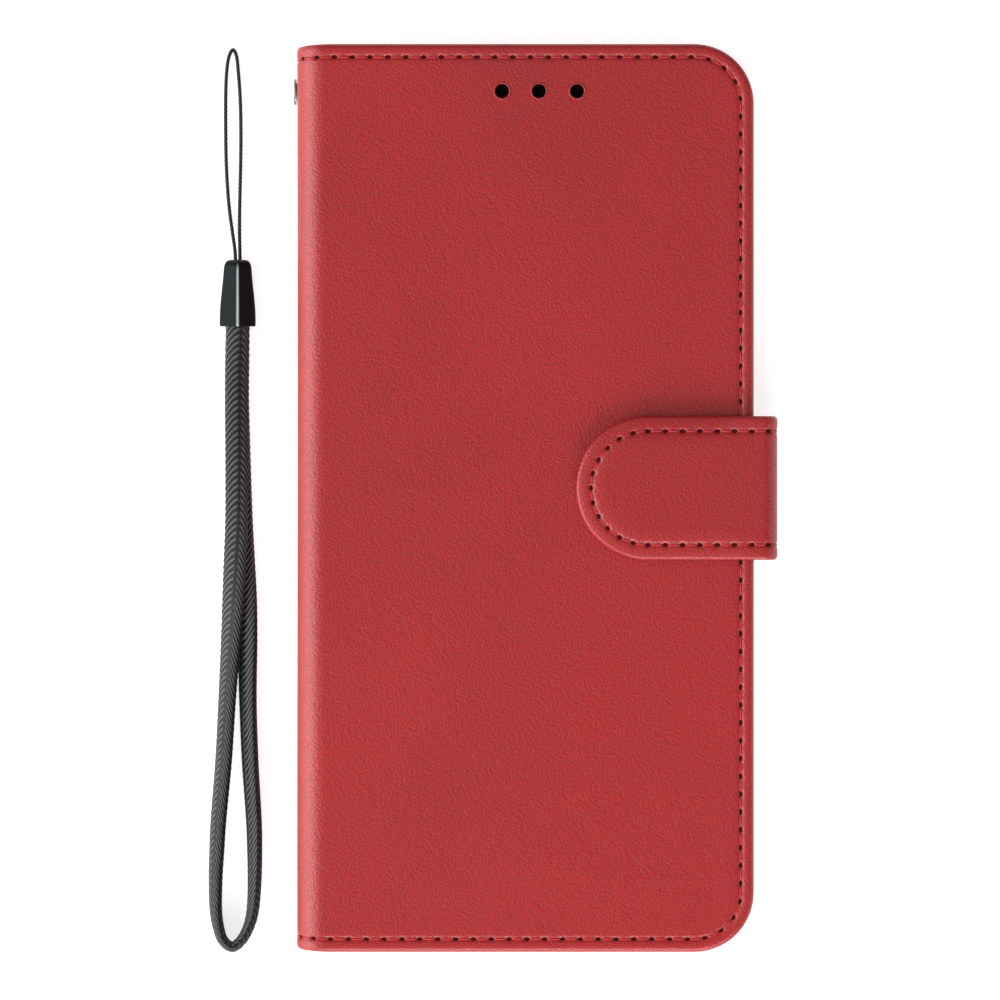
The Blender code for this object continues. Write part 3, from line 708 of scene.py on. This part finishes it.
def claspSheet(name, startS, endS):
    # u runs along the strap and v across it; ahead of the tip's centre the square front is turned
    # round by keeping the larger distance from the centre as radius and their ratio as angle
    look = clasp
    r, wall = look["edgeRound"], look["edgeWall"]
    bend = wall + r * pi / 2
    seam = bend + look["seamInset"] - r
    steps = np.r_[np.linspace(0, wall, 3)[:-1], np.linspace(wall, bend, 6)[:-1],
                  np.linspace(bend, seam - 0.8, 4)[:-1], np.linspace(seam - 0.8, seam + 0.8, 12)[:-1],
                  np.linspace(seam + 0.8, bend + half - r, 40)]
    inwards = steps[-1] - steps
    v = np.r_[-inwards[:-1], inwards[::-1]]
    count = int((endS - max(startS, half)) / 0.3)
    lengths = np.linspace(max(startS - half, 0), endS - half, count)
    u = np.r_[-inwards[:-1], lengths] if startS < half else lengths
    u, v = np.meshgrid(u, v, indexing="ij")
    pastU, pastV = np.maximum(-u, 0), np.abs(v)
    far = np.maximum(pastU, pastV)
    ratio = np.minimum(pastU, pastV) / np.maximum(far, 1e-9)
    angle = np.where(pastU >= pastV, pi / 4 * ratio, pi / 2 - pi / 4 * ratio)
    t = steps[-1] - far
    turned = np.clip((t - wall) / r, 0, pi / 2)
    inset = np.where(t > wall, r * (1 - np.cos(turned)), 0) + np.maximum(t - bend, 0)
    radius = half - inset
    s = np.where(u < 0, half - radius * np.cos(angle), half + u)
    y = claspY + np.sign(v) * radius * np.where(u < 0, np.sin(angle), 1.0)
    lower, fade = claspShape(s, inset)
    drop = r * (1 - np.sin(turned)) + np.maximum(wall - t, 0) * fade + lower
    relief = seamRelief(inset, claspBeats(claspSeamLength(s, y)), look)
    drop = drop + np.where(t > bend, relief + 0.06, 0.06)
    x, z = foldStrap(s, drop)
    points = np.stack([x, y, z], axis=-1)
    piece = meshPiece(name, points.reshape(-1, 3), gridFaces(*s.shape)[:, ::-1], coverLeather)
    shell = piece.modifiers.new("thickness", "SOLIDIFY")
    shell.thickness = look["wall"] * mm
    shell.offset = -1
    bpy.context.view_layer.update()
    applyModifiers(piece)
    return piece


def claspSeamPoint(along, sink):
    r = half - clasp["seamInset"]
    run = np.abs(along)
    angle = np.clip(run / r, 0, pi / 2)
    s = half - r * np.cos(angle) + np.maximum(run - r * pi / 2, 0)
    y = claspY + np.sign(along) * r * np.sin(angle)
    lower, _ = claspShape(s, np.full_like(s, clasp["seamInset"]))
    x, z = foldStrap(s, lower + sink)
    return np.stack([x, y, z], axis=-1)


tabLeather = claspSheet("clasp_tab_leather", 0, splitAt)
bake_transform(tabLeather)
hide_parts("clasp_tab_outer", "clasp_bridge_outer")
strapLeather = claspSheet("clasp_strap_leather", splitAt, strapLength)
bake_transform(strapLeather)

straightHoles = int((strapLength - half) / clasp["pitch"])
oneSide = np.r_[np.arange(arcHoles) / arcHoles * arcLength,
                arcLength + np.arange(straightHoles + 1) * clasp["pitch"]]
claspHoles = np.r_[-oneSide[:0:-1], oneSide]
claspMiddles = (claspHoles[:-1] + claspHoles[1:]) / 2
toTab = arcLength - half + tabLength      # seam length where the top ends
toBridge = toTab + 2 * bendLength + rise
claspThread = stitchForm(clasp["roundPitch"] - stitch["gap"] + 0.2, stitch["radius"], stitch["sink"])
claspHole = holeForm(stitch["holeLength"], stitch["holeWidth"])
for rider, low, high in (("clasp_tab", 0, toTab - 0.3), ("clasp_bridge", toTab - 0.3, toBridge)):
    for label, lengths, form, material, sink in (
            ("stitches", claspMiddles, claspThread, seamThread, clasp["grooveDepth"] + 0.03),
            ("needle_holes", claspHoles, claspHole, holeShade, clasp["grooveDepth"] + 0.10)):
        chosen = lengths[(np.abs(lengths) >= low) & (np.abs(lengths) < high)]
        place, forward, up = frameAlong(claspSeamPoint, chosen, sink)
        piece = repeatForm(f"{rider}_{label}", form, place, forward, up, material)
        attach(piece, rider)
        if rider == "clasp_tab" and label == "stitches":
            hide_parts("clasp_tab_thread")
print("clasp made")


# wrist strap

webbing = {
    "width": 4.4,
    "thick": 1.9,
    "ribPitch": 1.22,    # one rib along the cord
    "turns": (-0.02, 0.20, 0.48, 0.70),  # where the ribs change slant, as shares of the way round
    "climb": 3.2,        # how many ribs one rib climbs past between two turns
    "rib": 0.27,         # height of a rib's crest
    "around": 64,
    "spacing": 0.17,
    "reachIn": 0.9,      # how far both ends run on into the bead's mouth
}

# the cord's own route, as in the CAD model: x, y, z in millimetres and the lean of the flat side
webRoute = [
    (-55.20, 31.5, 3.65, 0), (-55.35, 25.0, 3.15, 2), (-55.40, 18.0, 3.05, 3), (-55.35, 7.0, 3.08, 8),
    (-55.40, -4.0, 3.08, 14), (-55.70, -11.5, 2.90, 21), (-56.05, -19.0, 2.50, 31),
    (-56.45, -26.3, 1.95, 42), (-57.15, -37.4, 2.02, 54), (-57.80, -48.5, 2.06, 58),
    (-58.75, -59.6, 2.10, 62), (-59.05, -65.1, 2.12, 65), (-59.30, -70.7, 2.18, 70),
    (-59.25, -76.2, 2.24, 76), (-58.75, -79.6, 2.30, 82), (-57.90, -82.0, 2.32, 87),
    (-56.20, -83.2, 2.32, 91), (-54.45, -81.9, 2.32, 95), (-53.10, -79.3, 2.30, 99),
    (-52.35, -76.0, 2.24, 104), (-52.05, -70.7, 2.18, 110), (-52.05, -65.1, 2.12, 115),
    (-52.20, -59.6, 2.10, 118), (-52.90, -48.5, 2.06, 122), (-53.30, -37.4, 2.02, 126),
    (-53.40, -26.3, 1.83, 138), (-53.65, -19.0, 1.60, 149), (-54.15, -11.5, 1.35, 159),
    (-54.60, -4.0, 1.24, 166), (-55.00, 7.0, 1.12, 172), (-55.30, 18.0, 1.06, 177),
    (-55.25, 25.0, 1.12, 178), (-55.20, 31.5, 1.62, 180),
]
loopRoute = [
    (-55.62, 44.0, 2.10), (-55.72, 46.0, 1.75), (-56.15, 49.0, 0.80), (-56.70, 53.0, 0.40),
    (-57.07, 57.0, 0.37), (-57.35, 62.5, 0.37), (-57.44, 68.1, 0.37), (-57.44, 74.0, 0.37),
    (-57.30, 78.5, 0.37), (-56.90, 81.6, 0.37), (-56.15, 83.1, 0.37), (-55.45, 82.0, 0.37),
    (-55.12, 79.2, 0.37), (-54.75, 74.0, 0.37), (-54.62, 68.0, 0.37), (-54.66, 62.5, 0.37),
    (-54.78, 57.0, 0.37), (-54.86, 53.0, 0.40), (-54.86, 49.0, 0.80), (-54.80, 46.0, 1.75),
    (-54.78, 44.0, 2.10),
]


def smoothRoute(route, spacing):
    # evenly spaced points on a Catmull-Rom curve through the route's own points, and its length
    knots = np.array(route, dtype=float)
    padded = np.vstack([2 * knots[0] - knots[1], knots, 2 * knots[-1] - knots[-2]])
    p0, p1, p2, p3 = (padded[i:len(padded) - 3 + i, None] for i in range(4))
    t = np.linspace(0, 1, 24, endpoint=False)[None, :, None]
    fine = 0.5 * (2 * p1 + (p2 - p0) * t + (2 * p0 - 5 * p1 + 4 * p2 - p3) * t ** 2
                  + (3 * p1 - p0 - 3 * p2 + p3) * t ** 3)
    fine = np.vstack([fine.reshape(-1, knots.shape[1]), knots[-1:]])
    along = np.r_[0, np.cumsum(np.linalg.norm(np.diff(fine[:, :3], axis=0), axis=1))]
    wanted = np.linspace(0, along[-1], int(along[-1] / spacing) + 1)
    return np.column_stack([np.interp(wanted, along, column) for column in fine.T]), wanted


def runOn(route, reach):
    # both ends carried straight on: each new place is the end plus so many of its last steps
    step = np.linalg.norm(route[1, :3] - route[0, :3])
    count = np.arange(int(reach / step), 0, -1)[:, None]
    first = route[0] + count * (route[0] - route[1])
    last = route[-1] + count[::-1] * (route[-1] - route[-2])
    longer = np.vstack([first, route, last])
    return longer, np.arange(len(longer)) * step


def levelFrame(path):
    # level sideways and upward directions along a path
    forward = np.gradient(path, axis=0)
    forward /= np.linalg.norm(forward, axis=1)[:, None]
    sideways = np.cross(np.array([0.0, 0.0, 1.0]), forward)
    sideways /= np.linalg.norm(sideways, axis=1)[:, None]
    return sideways, np.cross(forward, sideways)


def closedTube(name, points, material, crest=None):
    # rows of rings joined along the path, with a centre point that closes each end
    rows, columns = points.shape[:2]
    ends = np.array([points[0].mean(axis=0), points[-1].mean(axis=0)])
    quads = gridFaces(rows, columns, closeColumns=True)
    ring = np.arange(columns)
    last = (rows - 1) * columns
    caps = [(rows * columns, b, a) for a, b in zip(ring, np.roll(ring, -1))]
    caps += [(rows * columns + 1, a + last, b + last) for a, b in zip(ring, np.roll(ring, -1))]
    mesh = bpy.data.meshes.new(name)
    allPoints = np.vstack([points.reshape(-1, 3), ends])
    faces = quads.tolist() + [list(map(int, cap)) for cap in caps]
    mesh.from_pydata((allPoints * mm).tolist(), [], faces)
    mesh.polygons.foreach_set("use_smooth", np.full(len(mesh.polygons), True))
    mesh.materials.append(material)
    if crest is not None:
        attribute = mesh.attributes.new("crest", "FLOAT", "POINT")
        attribute.data.foreach_set("value", np.r_[crest.reshape(-1), 0, 0].astype(np.float32))
    piece = bpy.data.objects.new(name, mesh)
    bpy.context.collection.objects.link(piece)
    return piece


def braid(name, look):
    # flat section swept along the route; the ribs climb and fall in turn on their way round it, so
    # that they meet as arrowheads where the yarns dive under one another
    cordLine, cordLength = smoothRoute(webRoute, look["spacing"])
    route, length = runOn(cordLine, look["reachIn"])
    path, lean = route[:, :3], np.radians(route[:, 3])
    sideways, upward = levelFrame(path)
    wide = np.cos(lean)[:, None] * sideways + np.sin(lean)[:, None] * upward
    thick = -np.sin(lean)[:, None] * sideways + np.cos(lean)[:, None] * upward
    place = (np.arange(look["around"]) + 0.5) / look["around"]
    angle = 2 * pi * place
    core = look["rib"] * 0.7
    flatX = (look["width"] / 2 - core) * np.sign(np.cos(angle)) * np.abs(np.cos(angle)) ** 0.8
    flatZ = (look["thick"] / 2 - core) * np.sign(np.sin(angle)) * np.abs(np.sin(angle)) ** 0.8
    turns = np.array([*look["turns"], look["turns"][0] + 1])
    climb = np.interp((place - turns[0]) % 1 + turns[0], turns, [0, look["climb"], 0, look["climb"], 0])
    gap = np.abs((place[:, None] - turns + 0.5) % 1 - 0.5).min(axis=1)
    # height = ridge across each rib x how far the place is from a turn, where the yarns dive
    ridge = np.abs(np.sin(pi * (length[:, None] / look["ribPitch"] + climb[None]))) ** 1.3
    crest = ridge * (1 - 0.7 * np.exp(-(gap / 0.022) ** 2))[None]
    norm = np.column_stack([np.cos(angle) / look["width"], np.sin(angle) / look["thick"]])
    norm /= np.linalg.norm(norm, axis=1)[:, None]
    x = flatX[None] + norm[None, :, 0] * look["rib"] * crest
    z = flatZ[None] + norm[None, :, 1] * look["rib"] * crest
    points = path[:, None] + x[..., None] * wide[:, None] + z[..., None] * thick[:, None]
    # the crest heights also drive the painted highlight on the rib tops and the painted shade in the
    # valleys
    return closedTube(name, points, cordNylon, crest), cordLine[:, :3], cordLength[-1]


def twistedCord(name, radius):
    # thin laid cord: three strands, so the radius swells three times a turn and the swell winds on
    path, length = smoothRoute(loopRoute, 0.12)
    sideways, upward = levelFrame(path)
    angle = np.linspace(0, 2 * pi, 14, endpoint=False)
    wind = 3 * angle[None] + 2 * pi * length[:, None] / 0.75
    size = radius * (0.86 + 0.14 * np.abs(np.cos(wind / 2)))
    points = path[:, None] + (size * np.cos(angle))[..., None] * sideways[:, None] \
        + (size * np.sin(angle))[..., None] * upward[:, None]
    # the strand swells become the crest mask: painted lighter as highlight, the grooves between them
    # darker as painted shade
    crest = (size / radius - 0.86) / 0.14
    return closedTube(name, points, loopNylon, crest), path, length[-1]


webPiece, webPath, webLength = braid("braided_strap", webbing)
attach(webPiece, "wrist_strap")
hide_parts("strap_webbing")
loopPiece, loopPath, loopLength = twistedCord("thin_loop", 0.35)
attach(loopPiece, "wrist_strap")
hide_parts("strap_thread_loop")

beadLow, beadHigh = boxMm("strap_bead")
bead = {
    "halfWidth": 3.35,
    "shoulder": 3.5,
    "ridge": 5.6,
    "soft": 0.5,         # how far the section's corners are softened
    "centre": 2.1,       # height that the bead tapers towards
    "narrow": 0.76,      # width at the top end, as a share of the mouth's
    "lowEnd": 0.84,      # height there
    "depth": 4.0,        # of the mouth
    "top": 0.5,          # how far the rounded end stands past the CAD solid
    "shine": 0.18,       # half width of the painted highlight line on the ridge
}


def houseSection(count, halfWidth, shoulder, ridge, soft):
    # outline of a gabled house with softened corners: the corners are averaged along the outline
    corners = np.array([(halfWidth, 0), (halfWidth, shoulder), (0.3, ridge), (-0.3, ridge),
                        (-halfWidth, shoulder), (-halfWidth, 0), (halfWidth, 0)], dtype=float)
    along = np.r_[0, np.cumsum(np.linalg.norm(np.diff(corners, axis=0), axis=1))]
    def at(place):
        return np.column_stack([np.interp(place % along[-1], along, column) for column in corners.T])
    wanted = np.linspace(0, along[-1], count, endpoint=False)
    return sum(at(wanted + shift) for shift in np.linspace(-soft, soft, 15)) / 15


def mouldedBead(name):
    # the section carried along Y: a rounded closed top, a taper, a mouth and the inside of the mouth
    look = bead
    length = beadHigh[1] - beadLow[1] + look["top"]
    section = houseSection(120, look["halfWidth"], look["shoulder"], look["ridge"], look["soft"])
    # rows: distance from the top end, size against the section
    rows = [(0.0, 0.02), (0.03, 0.5), (0.15, 0.72), (0.4, 0.85), (0.8, 0.94), (1.3, 0.985), (1.9, 1.0)]
    rows += [(distance, 1.0) for distance in np.linspace(2.6, length - 0.5, 12)]
    rows += [(length - 0.2, 0.995), (length - 0.03, 0.975), (length, 0.93), (length - 0.05, 0.86),
             (length - 0.3, 0.83), (length - look["depth"], 0.8), (length - look["depth"], 0.02)]
    place, size = np.array(rows).T
    run = place / length
    wide = look["narrow"] + (1 - look["narrow"]) * smoothStep(run * 1.1)
    tall = look["lowEnd"] + (1 - look["lowEnd"]) * run
    x = (beadLow[0] + beadHigh[0]) / 2 + section[None, :, 0] * (wide * size)[:, None]
    z = look["centre"] * tall[:, None] + (section[None, :, 1] - look["centre"]) * (tall * size)[:, None]
    y = np.broadcast_to((beadHigh[1] + look["top"] - place)[:, None], x.shape)
    points = np.stack([x, y, z], axis=-1)
    # the crest mask carries the painted highlight line: a bell across the ridge, fading where the top
    # end rounds off
    onRidge = np.exp(-(section[:, 0] / look["shine"]) ** 2) * (section[:, 1] > look["shoulder"])
    outside = smoothStep(place / 1.5 - 0.3) * (size > 0.9)
    return closedTube(name, points, beadPlastic, outside[:, None] * onRidge[None])


beadPiece = mouldedBead("moulded_bead")
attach(beadPiece, "wrist_strap")
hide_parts("strap_bead")
print("wrist strap made", round(webLength, 1), round(loopLength, 1))


# pockets inside the cover

def edgeStitches(name, node, sides, body, inset=1.6, pitch=2.8):
    # a row of stitches along the chosen sides of a flat panel, on the face towards the phone
    low, high = boxMm(node)
    rows = []
    for side in sides:
        y = low[1] + inset if side == "low" else high[1] - inset
        x = np.arange(low[0] + inset, high[0] - inset - pitch / 2, pitch)
        rows.append(np.column_stack([x, np.full_like(x, y), np.full_like(x, low[2] - 0.02)]))
    place = np.vstack(rows)
    along = np.tile([1.0, 0.0, 0.0], (len(place), 1))
    up = np.tile([0.0, 0.0, -1.0], (len(place), 1))
    piece = repeatForm(name, stitchForm(pitch * 0.72, 0.16, 0.12), place, along, up, seamThread)
    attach(piece, body)


for node in ("card_slot_inner", "card_slot_middle", "card_slot_outer"):
    edgeStitches(f"{node}_stitches", node, ("low", "high"), "front_cover")
print("pockets sewn")


# finishes of the carried-over parts

finishes = {
    liningLeather: ["back_lining", "front_lining", "cash_pocket_panel",
                    "card_slot_inner", "card_slot_middle", "card_slot_outer",
                    "spine_lining", "clasp_bridge_lining", "clasp_tab_lining"],
    coverLeather: ["clasp_anchor"],
    greyBoard: ["back_board", "front_board", "spine_board", "clasp_tab_stiffener"],
    foamSheet: ["front_padding"],
    trayPlastic: ["phone_tray", "power_key", "volume_key"],
    eyeletMetal: ["eyelet_barrel", "eyelet_washer"],
    magnetMetal: ["front_magnet", "clasp_tab_magnet"],
}
for material, names in finishes.items():
    for name in names:
        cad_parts[name].data.materials.clear()
        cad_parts[name].data.materials.append(material)
print("finishes set")


# camera, light and floor

studio = {
    "centre": (-6.57, -0.37),    # what the camera looks at, in millimetres
    "width": 185.0,              # width of the view at the cover's face
    "distance": 7.0,
    "floor": "#cfcfcf",
    "floorLift": 0.75,           # the floor's own glow, as of a lit table
    "world": 0.26,
    "floorHalf": 3000,
    "panels": {                  # place and size in metres, power in watts
        "windowLeft": ((-0.75, -0.15, 0.38), (1.3, 0.75), 12.0),
        "windowFront": ((0.10, -0.85, 0.45), (0.6, 0.4), 6.5),
        "stripLeft": ((-0.45, -0.10, 1.15), (0.04, 0.9), 0.9),
        "fillRight": ((0.75, -0.15, 0.32), (0.6, 0.5), 1.2),
    },
}
scene = bpy.context.scene
camera = bpy.data.objects.new("camera", bpy.data.cameras.new("camera"))
camera.data.sensor_width = 36
camera.data.lens = 36 * (studio["distance"] - topZ * mm) / (studio["width"] * mm)
camera.data.clip_start = 0.05
camera.data.clip_end = 20
camera.location = (studio["centre"][0] * mm, studio["centre"][1] * mm, studio["distance"])
scene.collection.objects.link(camera)
scene.camera = camera


def softPanel(name, place, size, power):  # an area light that faces the case
    lamp = bpy.data.lights.new(name, "AREA")
    lamp.shape = "RECTANGLE"
    lamp.size, lamp.size_y = size
    lamp.energy = power
    panel = bpy.data.objects.new(name, lamp)
    panel.location = place
    panel.rotation_euler = (-Vector(place)).to_track_quat("-Z", "Y").to_euler()
    scene.collection.objects.link(panel)


for name, (place, size, power) in studio["panels"].items():
    softPanel(name, place, size, power)

world = bpy.data.worlds.new("paleRoom")
world.use_nodes = True
world.node_tree.nodes["Background"].inputs["Color"].default_value = (1, 1, 1, 1)
world.node_tree.nodes["Background"].inputs["Strength"].default_value = studio["world"]
scene.world = world
scene.view_settings.view_transform = "Standard"

floorPaint, _, floorShader = newMaterial("paleMattFloor", 0.9, specular=0.1)
floorShader.inputs["Base Color"].default_value = hexColour(studio["floor"])
floorShader.inputs["Emission Color"].default_value = (1, 1, 1, 1)
floorShader.inputs["Emission Strength"].default_value = studio["floorLift"]
side = studio["floorHalf"]
corners = [(-side, -side, -0.05), (side, -side, -0.05), (side, side, -0.05), (-side, side, -0.05)]
floor = meshPiece("floor", corners, [(0, 1, 2, 3)], floorPaint, smooth=False)

print("all pieces placed")
